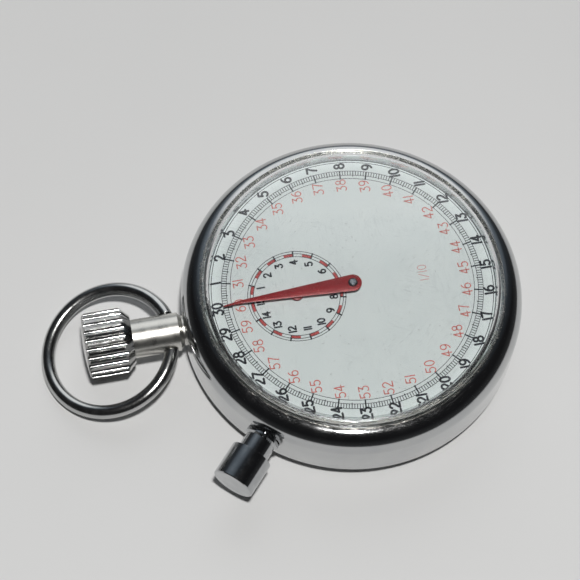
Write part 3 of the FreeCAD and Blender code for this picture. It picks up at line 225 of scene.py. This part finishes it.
def glass_material():
    """Old acrylic: clear, with hairline scratches; light for what lies behind passes straight in."""
    made, tree, shader = start_material("scratched_acrylic")
    shader.inputs["Transmission Weight"].default_value = 1.0
    shader.inputs["IOR"].default_value = 1.49
    shader.inputs["Base Color"].default_value = (0.97, 0.985, 0.99, 1.0)
    long_hair = scratches(tree, 5.0 * MM, 0.05 * MM, 0.67, 0.4)
    short_hair = scratches(tree, 1.6 * MM, 0.06 * MM, 0.67, 1.3)
    hair = math_of(tree, "MAXIMUM", long_hair, short_hair)
    roughness = math_of(tree, "ADD", spread(tree, noise(tree, 5 * MM), 0.0, 0.015),
                        math_of(tree, "MULTIPLY", hair, 0.20))
    shoulder = spread(tree, axis_distance(tree), 0.0, 1.0, CRYSTAL_SHOULDER, CRYSTAL_RADIUS)
    scuffed = math_of(tree, "MULTIPLY", shoulder, spread(tree, noise(tree, 1.2 * MM, 4.0), 0.0, 0.07))
    roughness = math_of(tree, "ADD", roughness, scuffed)
    feed(tree, shader.inputs["Roughness"], roughness)
    bump = node(tree, "Bump", {"Strength": 0.08, "Distance": 0.004 * MM, "Height": hair})
    tree.links.new(bump.outputs["Normal"], shader.inputs["Normal"])
    through = node(tree, "BsdfTransparent", {"Color": (0.97, 0.98, 0.98, 1.0)})
    shadow = node(tree, "LightPath").outputs["Is Shadow Ray"]
    blend = node(tree, "MixShader")
    tree.links.new(shadow, blend.inputs[0])
    tree.links.new(shader.outputs[0], blend.inputs[1])
    tree.links.new(through.outputs[0], blend.inputs[2])
    tree.links.new(blend.outputs[0], tree.nodes["Material Output"].inputs["Surface"])
    return made


def enamel_material():
    """Cool white printed dial with dust, faint stains and hairline crazing."""
    made, tree, shader = start_material("dial_enamel_white")
    stain = ramp(tree, noise(tree, 7 * MM, 5.0), [(0.3, (0.615, 0.655, 0.655)), (0.7, (0.65, 0.685, 0.68))])
    hair = scratches(tree, 1.8 * MM, 0.07 * MM, 0.63, 2.1)
    colour = mixed(tree, math_of(tree, "MULTIPLY", hair, 0.45), stain, (0.40, 0.43, 0.44))
    speck = spread(tree, noise(tree, 0.45 * MM, 1.0), 0.0, 1.0, 0.73, 0.77)
    colour = mixed(tree, math_of(tree, "MULTIPLY", speck, 0.5), colour, (0.25, 0.26, 0.27))
    roughness = spread(tree, noise(tree, 1.2 * MM, 3.0), 0.38, 0.55)
    shader.inputs["Specular IOR Level"].default_value = 0.3
    finish_material(tree, shader, colour, roughness, noise(tree, 0.5 * MM, 3.0), 0.05, 0.01 * MM)
    return made


def ink_material(name, dark, light, patchy):
    """Printed ink: patchy where it has worn thin."""
    made, tree, shader = start_material(name)
    wear = noise(tree, 0.35 * MM, 4.0)
    colour = ramp(tree, wear, [(0.35, dark), (0.35 + patchy, light)])
    shader.inputs["Specular IOR Level"].default_value = 0.25
    finish_material(tree, shader, colour, spread(tree, wear, 0.45, 0.65), wear, 0.1, 0.004 * MM)
    return made


def paint_material():
    """Red lacquer on the hands: mottled, slightly orange-peeled, with dark flecks."""
    made, tree, shader = start_material("hand_red_lacquer")
    mottle = noise(tree, 0.5 * MM, 4.0)
    colour = ramp(tree, mottle, [(0.3, (0.17, 0.006, 0.007)), (0.7, (0.235, 0.010, 0.011))])
    fleck = spread(tree, noise(tree, 0.18 * MM, 2.0), 0.0, 1.0, 0.72, 0.76)
    colour = mixed(tree, math_of(tree, "MULTIPLY", fleck, 0.6), colour, (0.12, 0.012, 0.012))
    shader.inputs["Specular IOR Level"].default_value = 0.3
    shader.inputs["Coat Weight"].default_value = 0.1
    shader.inputs["Coat Roughness"].default_value = 0.12
    roughness = spread(tree, mottle, 0.28, 0.42)
    finish_material(tree, shader, colour, roughness, mottle, 0.12, 0.006 * MM, 0.03 * MM)
    return made


def brushed_material(name, colours, roughness, grain):
    """Worked metal of the movement: straight grain and slight tarnish."""
    made, tree, shader = start_material(name)
    shader.inputs["Metallic"].default_value = 1.0
    lines = noise(tree, grain, 3.0, (0.06, 1.0, 1.0), (0, 0, 0.5))
    tarnish = noise(tree, 2.5 * MM, 5.0)
    colour = ramp(tree, tarnish, [(0.3, colours[0]), (0.7, colours[1])])
    varied = math_of(tree, "ADD", spread(tree, tarnish, *roughness), spread(tree, lines, -0.05, 0.05))
    finish_material(tree, shader, colour, varied, lines, 0.15, 0.004 * MM, 0.04 * MM)
    return made


def pearled_material():
    """Nickelled plates with overlapping spotted finish."""
    made, tree, shader = start_material("pearled_nickel")
    shader.inputs["Metallic"].default_value = 1.0
    spots = node(tree, "TexVoronoi", {"Vector": place(tree), "Scale": 1 / (0.9 * MM), "Randomness": 0.15})
    rings = math_of(tree, "SINE", math_of(tree, "MULTIPLY", spots.outputs["Distance"], 40.0))
    tone = noise(tree, 3 * MM)
    colour = ramp(tree, tone, [(0.3, (0.60, 0.57, 0.50)), (0.7, (0.68, 0.65, 0.58))])
    roughness = spread(tree, rings, 0.20, 0.34, -1, 1)
    finish_material(tree, shader, colour, roughness, rings, 0.2, 0.003 * MM, 0.04 * MM)
    return made


def jewel_material():
    made, tree, shader = start_material("synthetic_ruby")
    cloud = noise(tree, 0.4 * MM, 3.0)
    shader.inputs["Transmission Weight"].default_value = 0.7
    shader.inputs["IOR"].default_value = 1.76
    colour = ramp(tree, cloud, [(0.3, (0.55, 0.02, 0.06)), (0.7, (0.75, 0.05, 0.12))])
    finish_material(tree, shader, colour, spread(tree, cloud, 0.03, 0.08), cloud, 0.05, 0.003 * MM)
    return made


def floor_material():
    """Pale laminate table, almost plain."""
    made, tree, shader = start_material("pale_table")
    tone = noise(tree, 60 * MM, 3.0)
    colour = ramp(tree, tone, [(0.3, (0.612, 0.614, 0.616)), (0.7, (0.628, 0.630, 0.632))])
    shader.inputs["Specular IOR Level"].default_value = 0.2
    roughness = spread(tree, tone, 0.55, 0.65)
    finish_material(tree, shader, colour, roughness, noise(tree, 0.5 * MM, 3.0), 0.05, 0.02 * MM)
    return made


FINISH = {
    "case_chrome": chrome_material(),
    "bright_ring": satin_material("bright_rehaut", ((0.62, 0.64, 0.65), (0.72, 0.73, 0.72)), (0.08, 0.14),
                                  0.2 * MM, (1, 1, 4)),
    "crystal": glass_material(),
    "dial_enamel": enamel_material(),
    "hand_red": paint_material(),
    "steel": brushed_material("spring_steel", ((0.42, 0.43, 0.45), (0.52, 0.53, 0.54)),
                              (0.16, 0.28), 0.12 * MM),
    "brass": brushed_material("rolled_brass", ((0.72, 0.50, 0.22), (0.80, 0.60, 0.30)),
                              (0.18, 0.32), 0.15 * MM),
    "nickel": pearled_material(),
    "jewel": jewel_material(),
}
PENDANT_FINISH = satin_material("turned_nickel", ((0.60, 0.59, 0.56), (0.70, 0.69, 0.65)), (0.27, 0.33),
                                0.08 * MM, (1, 6, 1))
CROWN_FINISH = satin_material("worn_crown_plate", ((0.33, 0.33, 0.33), (0.46, 0.46, 0.45)), (0.07, 0.13),
                              0.10 * MM, (3, 3, 3), 0.05 * MM)
BOW_FINISH = satin_material("worn_bow_chrome", ((0.47, 0.475, 0.47), (0.55, 0.555, 0.55)), (0.16, 0.22),
                            0.25 * MM, (1, 1, 1))
BUTTON_FINISH = satin_material("worn_button_chrome", ((0.44, 0.45, 0.46), (0.52, 0.53, 0.54)), (0.07, 0.12),
                               0.15 * MM, (1, 1, 3))
BLACK_INK = ink_material("black_ink", (0.008, 0.009, 0.012), (0.02, 0.022, 0.028), 0.3)
RED_INK = ink_material("red_ink", (0.50, 0.09, 0.07), (0.58, 0.19, 0.16), 0.3)
BLOCK_INK = ink_material("red_block_ink", (0.36, 0.04, 0.04), (0.46, 0.09, 0.085), 0.3)
COLLET_FINISH = brushed_material("darkened_steel", ((0.03, 0.027, 0.03), (0.06, 0.055, 0.055)),
                                 (0.2, 0.32), 0.1 * MM)

# finishes of nodes that look unlike the others in their slot
SPECIAL = {
    "pendant_tube": PENDANT_FINISH, "crown": CROWN_FINISH, "bow": BOW_FINISH,
    "reset_button": BUTTON_FINISH, "button_tube": BUTTON_FINISH,
}


def dress_cad_nodes():
    for name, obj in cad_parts.items():
        for slot in obj.material_slots:
            slot.material = SPECIAL.get(name) or FINISH[slot.material.name.split(".")[0]]


# ---------------------------------------------------------------- mesh helpers
class Build:
    """Points and faces of one piece while it is put together."""

    def __init__(self):
        self.points = []
        self.faces = []

    def loop_between(self, start, count):
        """Join two neighbouring loops of count points; start is the first point of the first loop."""
        for i in range(count):
            j = (i + 1) % count
            self.faces.append((start + i, start + j, start + count + j, start + count + i))

    def piece(self, name, finish, body, slot, smooth=False):
        mesh = bpy.data.meshes.new(name)
        mesh.from_pydata([tuple(p) for p in self.points], [], self.faces)
        work = bmesh.new()
        work.from_mesh(mesh)
        bmesh.ops.recalc_face_normals(work, faces=work.faces)
        work.to_mesh(mesh)
        work.free()
        mesh.materials.append(finish)
        if smooth:
            mesh.shade_smooth()
            mesh.set_sharp_from_angle(angle=math.radians(35))
        made = bpy.data.objects.new(name, mesh)
        bpy.context.scene.collection.objects.link(made)
        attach(made, body)
        return made


def strip(build, stations, closed=False):
    """A thin band of print; a station is (x, y, across x, across y, half width)."""
    first = len(build.points)
    for x, y, nx, ny, half in stations:
        for side, z in ((1, PRINT_TOP), (-1, PRINT_TOP), (-1, PRINT_BASE), (1, PRINT_BASE)):
            build.points.append((x + side * nx * half, y + side * ny * half, z))
    count = len(stations)
    for i in range(count if closed else count - 1):
        a = first + 4 * i
        b = first + 4 * ((i + 1) % count)
        for k in range(4):
            build.faces.append((a + k, a + (k + 1) % 4, b + (k + 1) % 4, b + k))
    if not closed:
        last = first + 4 * (count - 1)
        build.faces.append((first, first + 3, first + 2, first + 1))
        build.faces.append((last, last + 1, last + 2, last + 3))


def pen_stroke(build, path, half, closed=False):
    """An ink line of even width along a path, with round ends."""
    count = len(path)
    stations = []
    for i, (x, y) in enumerate(path):
        before = path[(i - 1) % count] if closed or i else path[i]
        after = path[(i + 1) % count] if closed or i < count - 1 else path[i]
        dx, dy = after[0] - before[0], after[1] - before[1]
        length = math.hypot(dx, dy)
        stations.append((x, y, -dy / length, dx / length, half))
    if not closed:
        for end, step in ((0, -1), (-1, 1)):
            x, y, nx, ny, _ = stations[end]
            for angle in (30, 60, 82):
                reach = step * half * math.sin(math.radians(angle))
                cap = (x + ny * reach, y - nx * reach, nx, ny, half * math.cos(math.radians(angle)))
                stations.insert(0 if step < 0 else len(stations), cap)
    strip(build, stations, closed)


def circle(build, radius, half, at=(0.0, 0.0), steps=240):
    stations = []
    for i in range(steps):
        angle = 2 * math.pi * i / steps
        c, s = math.cos(angle), math.sin(angle)
        stations.append((at[0] + radius * c, at[1] + radius * s, c, s, half))
    strip(build, stations, closed=True)


def clock_point(radius, turn, at=(0.0, 0.0)):
    """A point at a share of a turn, clockwise from twelve o'clock."""
    angle = 2 * math.pi * turn
    return (at[0] + radius * math.sin(angle), at[1] + radius * math.cos(angle))


def tick(build, inner, outer, turn, half, at=(0.0, 0.0)):
    angle = 2 * math.pi * turn
    across = (math.cos(angle), -math.sin(angle))
    ends = [clock_point(radius, turn, at) for radius in (inner, outer)]
    strip(build, [(*end, *across, half) for end in ends])


def block(build, inner, outer, start, end, at, steps=6):
    """A filled stretch of a ring between two shares of a turn."""
    middle, half = (inner + outer) / 2, (outer - inner) / 2
    stations = []
    for i in range(steps + 1):
        turn = start + (end - start) * i / steps
        angle = 2 * math.pi * turn
        stations.append((*clock_point(middle, turn, at), math.sin(angle), math.cos(angle), half))
    strip(build, stations)


def lathe(build, profile, at=(0.0, 0.0), steps=64):
    """Turn a closed outline of (radius, height) about a vertical axis."""
    first = len(build.points)
    count = len(profile)
    for i in range(steps):
        angle = 2 * math.pi * i / steps
        for radius, z in profile:
            build.points.append((at[0] + radius * math.cos(angle), at[1] + radius * math.sin(angle), z))
    for i in range(steps):
        a, b = first + i * count, first + (i + 1) % steps * count
        for k in range(count):
            j = (k + 1) % count
            build.faces.append((a + k, a + j, b + j, b + k))


# ---------------------------------------------------------------- numerals
def bend(x, y, rx, ry, start, end, steps=14):
    """Points of an elliptical arc in a glyph's cell; angles are in degrees."""
    points = []
    for i in range(steps + 1):
        angle = math.radians(start + (end - start) * i / steps)
        points.append((x + rx * math.cos(angle), y + ry * math.sin(angle)))
    return points


SIX = [bend(0.28, 0.30, 0.26, 0.30, 150, -210, 22), bend(0.50, 0.36, 0.48, 0.62, 176, 100, 10)]
GLYPHS = {
    "0": (0.56, [bend(0.28, 0.50, 0.26, 0.50, 0, 360, 24)]),
    "1": (0.10, [[(0.05, 0.0), (0.05, 1.0)]]),
    "2": (0.56, [bend(0.28, 0.74, 0.25, 0.26, 165, -30) + [(0.36, 0.42), (0.12, 0.18), (0.02, 0.0)],
                 [(0.02, 0.0), (0.56, 0.0)]]),
    "3": (0.54, [[(0.04, 1.0), (0.50, 1.0)], [(0.50, 1.0), (0.24, 0.60)],
                 bend(0.25, 0.31, 0.28, 0.30, 95, -145, 16)]),
    "4": (0.56, [[(0.38, 0.0), (0.38, 1.0)], [(0.38, 1.0), (0.0, 0.30)], [(0.0, 0.30), (0.56, 0.30)]]),
    "5": (0.54, [[(0.50, 1.0), (0.10, 1.0)], [(0.10, 1.0), (0.06, 0.56)],
                 bend(0.25, 0.32, 0.28, 0.31, 128, -145, 16)]),
    "6": (0.56, SIX),
    "7": (0.54, [[(0.0, 1.0), (0.54, 1.0)], [(0.54, 1.0), (0.34, 0.5), (0.22, 0.0)]]),
    "8": (0.56, [bend(0.28, 0.76, 0.21, 0.24, 0, 360, 18), bend(0.28, 0.27, 0.27, 0.27, 0, 360, 20)]),
    "9": (0.56, [[(0.56 - x, 1.0 - y) for x, y in path] for path in SIX]),
    "/": (0.52, [[(0.0, -0.05), (0.52, 1.05)]]),
}
GLYPH_GAP = 0.20


def number(build, text, centre, height, pen):
    """Write a number upright, centred on a point of the dial."""
    width = sum(GLYPHS[letter][0] for letter in text) + GLYPH_GAP * (len(text) - 1)
    left = centre[0] - width * height / 2
    for letter in text:
        advance, paths = GLYPHS[letter]
        for path in paths:
            closed = math.dist(path[0], path[-1]) < 1e-6
            points = [(left + x * height, centre[1] + (y - 0.5) * height) for x, y in path]
            pen_stroke(build, points[:-1] if closed else points, pen, closed)
        left += (advance + GLYPH_GAP) * height


# ---------------------------------------------------------------- dial print pieces
def seconds_track():
    build = Build()
    for radius in (TRACK_INNER, LADDER_INNER, LADDER_OUTER):
        circle(build, radius, HAIRLINE * 0.8)
    circle(build, EDGE_LINES[0], HAIRLINE)
    circle(build, EDGE_LINES[1], HAIRLINE)
    for step in range(TENTHS):
        if step % 10 == 0:
            tick(build, TRACK_INNER - TICK_OVERHANG, LADDER_OUTER, step / TENTHS, MAJOR_TICK)
        elif step % 5 == 0:
            tick(build, HALF_SECOND_INNER, LADDER_OUTER, step / TENTHS, HAIRLINE * 1.2)
        else:
            tick(build, LADDER_INNER, LADDER_OUTER, step / TENTHS, HAIRLINE)
    build.piece("seconds_track", BLACK_INK, "case", "dial_enamel")


def seconds_numbers():
    black, red = Build(), Build()
    for second in range(1, 31):
        number(black, str(second), clock_point(BLACK_NUMBER_RADIUS, second / 30), NUMBER_HEIGHT, BLACK_PEN)
        number(red, str(second + 30), clock_point(RED_NUMBER_RADIUS, second / 30), NUMBER_HEIGHT, RED_PEN)
    number(red, "1/10", FRACTION_AT, NUMBER_HEIGHT * 0.9, FRACTION_PEN)
    black.piece("seconds_numbers_black", BLACK_INK, "case", "dial_enamel")
    red.piece("seconds_numbers_red", RED_INK, "case", "dial_enamel")


def minute_track():
    lines, blocks, numbers = Build(), Build(), Build()
    at = MINUTE_AT.xy
    for radius in (SUB_OUTER, SUB_MIDDLE, SUB_INNER):
        circle(lines, radius, HAIRLINE * 0.9, at, steps=160)
    for minute in range(1, SUB_MINUTES + 1):
        turn = minute / SUB_MINUTES
        tick(lines, SUB_INNER, SUB_OUTER + TICK_OVERHANG, turn, SUB_TICK, at)
        block(blocks, SUB_INNER + HAIRLINE, SUB_MIDDLE - HAIRLINE, turn - 0.5 / SUB_MINUTES, turn, at)
        number(numbers, str(minute), clock_point(SUB_NUMBER_RADIUS, turn, at), SUB_NUMBER_HEIGHT, SUB_PEN)
    lines.piece("minute_track", BLACK_INK, "case", "dial_enamel")
    blocks.piece("minute_track_blocks", BLOCK_INK, "case", "dial_enamel")
    numbers.piece("minute_numbers", BLACK_INK, "case", "dial_enamel")


# ---------------------------------------------------------------- hands
BLADE_THICKNESS = 0.18 * MM
BLADE_TIP = 0.09 * MM
BLADE_EDGE = 0.055 * MM
EDGE_SHARE = 0.4  # of the half width at most
EDGE_ROUNDING = 0.3
BEND_SHARE = 0.84  # of the length is straight
BEND_POWER = 1.6
TIP_DROP = 0.55 * MM
BORE = 0.46 * MM
ARBOR_END = 0.2 * MM  # above the blade
TUBE_RADIUS = 0.8 * MM
TUBE_BELOW = 0.35 * MM
MINUTE_WAIST = 0.45 * MM
DOME_RISE = 0.14 * MM
DOME_RIM = 0.12 * MM
JOIN = 0.02 * MM  # how far stacked pieces of a hand run into each other


def hand_blade(build, hub, length, base, at, drop):
    """A lacquered blade: round hub, straight taper, rounded edges, end bent down."""
    bend_start = BEND_SHARE * length
    ys = [-hub * math.cos(math.radians(a)) for a in range(4, 91, 6)]
    ys += [bend_start * i / 10 for i in range(1, 11)]
    ys += [bend_start + (length - bend_start) * i / 10 for i in range(1, 11)]
    first = len(build.points)
    for y in ys:
        half = math.sqrt(max(hub ** 2 - y ** 2, 0)) if y < 0 else hub + (BLADE_TIP - hub) * y / length
        share = max(0.0, (y - bend_start) / (length - bend_start))
        z = base - drop * share ** BEND_POWER
        lip = min(BLADE_EDGE, half * EDGE_SHARE)
        inset = EDGE_ROUNDING * lip
        top = z + BLADE_THICKNESS
        outline = [
            (-half, z), (-half, top - lip), (-half + inset, top - inset), (-half + lip, top),
            (half - lip, top), (half - inset, top - inset), (half, top - lip), (half, z),
        ]
        build.points += [(at[0] + x, at[1] + y, height) for x, height in outline]
    count = len(outline)
    for i in range(len(ys) - 1):
        build.loop_between(first + i * count, count)
    build.faces.append(tuple(range(first, first + count)))
    last = first + (len(ys) - 1) * count
    build.faces.append(tuple(range(last, last + count)))


def sweep_hand():
    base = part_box("sweep_arbor")[1].z - ARBOR_END - BLADE_THICKNESS
    build = Build()
    hand_blade(build, SWEEP_HUB_RADIUS, SWEEP_HIGH.y, base, (0.0, 0.0), TIP_DROP)
    low, high = base - TUBE_BELOW, base + JOIN
    lathe(build, [(BORE, low), (TUBE_RADIUS, low), (TUBE_RADIUS, high), (BORE, high)])
    made = build.piece("sweep_hand_lacquered", FINISH["hand_red"], "sweep_group", "hand_red", smooth=True)
    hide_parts("sweep_hand")
    collet = Build()
    top = base + BLADE_THICKNESS
    lathe(collet, [(0.45 * MM, top - JOIN), (0.45 * MM, top + 0.06 * MM), (0.55 * MM, top + 0.10 * MM),
                   (0.68 * MM, top + 0.07 * MM), (0.74 * MM, top - JOIN)])
    collet.piece("sweep_hand_rivet", COLLET_FINISH, "sweep_group", "steel", smooth=True)


def minute_hand():
    base = MINUTE_LOW.z
    at = MINUTE_AT.xy
    build = Build()
    hand_blade(build, MINUTE_WAIST, MINUTE_HIGH.y - at.y, base, at, 0.0)
    top = base + BLADE_THICKNESS
    hub = MINUTE_HUB_RADIUS
    dome = []
    for degrees in range(0, 61, 10):
        angle = math.radians(degrees)
        dome.append((hub * math.cos(angle), top + DOME_RISE * math.sin(angle)))
    lathe(build, [(BORE, base), (hub, base)] + dome + [(BORE, top + DOME_RIM)], at)
    made = build.piece("minute_hand_lacquered", FINISH["hand_red"], "minute_group", "hand_red", smooth=True)
    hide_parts("minute_hand")


# ---------------------------------------------------------------- floor, light and camera
TABLE_HALF = 0.9  # metres, as are the lamp's sizes below


def studio_floor():
    half = TABLE_HALF
    corners = [(-half, -half, 0), (half, -half, 0), (half, half, 0), (-half, half, 0)]
    mesh = bpy.data.meshes.new("table")
    mesh.from_pydata(corners, [], [(0, 1, 2, 3)])
    mesh.materials.append(floor_material())
    table = bpy.data.objects.new("table", mesh)
    bpy.context.scene.collection.objects.link(table)


VIEW_TARGET = Vector((1.07, 9.42, 12.0)) * MM
VIEW_DISTANCE = 288.14 * MM
VIEW_HEADING = math.radians(-13.363)
VIEW_TILT = math.radians(64.780)
VIEW_ROLL = math.radians(-2.534)
LENS = 118.53
KEY_DISTANCE = 0.62
KEY_ABOVE = 0.23  # slope above and beside the view line
KEY_BESIDE = 0.07
KEY_POWER = 13.8  # watts
KEY_RADIUS = 0.024
KEY_CONE = math.radians(50)
KEY_FADE = 0.75
KEY_COLOUR = (1.0, 0.99, 0.97)
WALL_RISE = math.radians(35.0)


def view_axes():
    """Right, up and forward unit vectors of the camera."""
    level = math.cos(VIEW_TILT)
    forward = Vector((math.cos(VIEW_HEADING) * level, math.sin(VIEW_HEADING) * level, -math.sin(VIEW_TILT)))
    right = forward.cross(Vector((0, 0, 1))).normalized()
    right = Matrix.Rotation(VIEW_ROLL, 3, forward) @ right
    return right, right.cross(forward), forward


def camera():
    right, up, forward = view_axes()
    data = bpy.data.cameras.new("camera")
    data.lens = LENS
    data.sensor_width = 36.0
    data.clip_start = 0.01
    data.clip_end = 10.0
    made = bpy.data.objects.new("camera", data)
    turn = Matrix((right, up, -forward)).transposed().to_4x4()
    made.matrix_world = Matrix.Translation(VIEW_TARGET - forward * VIEW_DISTANCE) @ turn
    bpy.context.scene.collection.objects.link(made)
    bpy.context.scene.camera = made


def key_light():
    """One small hard lamp above the camera; its pool of light fades out on the table."""
    right, up, forward = view_axes()
    towards = (up * KEY_ABOVE + right * KEY_BESIDE - forward).normalized()
    data = bpy.data.lights.new("key", "SPOT")
    data.shadow_soft_size = KEY_RADIUS
    data.energy = KEY_POWER
    data.spot_size = KEY_CONE
    data.spot_blend = KEY_FADE
    data.color = KEY_COLOUR
    made = bpy.data.objects.new("key", data)
    made.location = VIEW_TARGET + towards * KEY_DISTANCE
    made.rotation_euler = (-towards).to_track_quat("-Z", "Y").to_euler()
    bpy.context.scene.collection.objects.link(made)


def surroundings():
    """A dim room: dark overhead, with one pale wall beyond the table that fades to steel blue."""
    world = bpy.data.worlds.new("studio")
    bpy.context.scene.world = world
    world.use_nodes = True
    tree = world.node_tree
    direction = node(tree, "TexCoord").outputs["Generated"]
    height = node(tree, "SeparateXYZ", {"Vector": direction}).outputs["Z"]
    room = ramp(tree, height, [(0.0, (0.09, 0.09, 0.09)), (0.10, (0.035, 0.036, 0.037)),
                               (0.5, (0.012, 0.012, 0.013))])
    level = math.cos(WALL_RISE)
    wall = (math.cos(VIEW_HEADING) * level, math.sin(VIEW_HEADING) * level, math.sin(WALL_RISE))
    nearness = node(tree, "VectorMath", {0: direction, 1: wall}, operation="DOT_PRODUCT").outputs["Value"]
    glow = ramp(tree, nearness, [(0.60, (0, 0, 0)), (0.78, (0.02, 0.025, 0.03)), (0.88, (0.16, 0.19, 0.22)),
                                 (0.94, (1.1, 1.12, 1.13))])
    total = node(tree, "VectorMath", {0: room, 1: glow}, operation="ADD").outputs["Vector"]
    tree.links.new(total, tree.nodes["Background"].inputs["Color"])
    bpy.context.scene.view_settings.view_transform = "Standard"
    bpy.context.scene.cycles.caustics_refractive = False  # the crystal already passes shadow rays


dress_cad_nodes()
seconds_track()
seconds_numbers()
minute_track()
sweep_hand()
minute_hand()
studio_floor()
camera()
key_light()
surroundings()
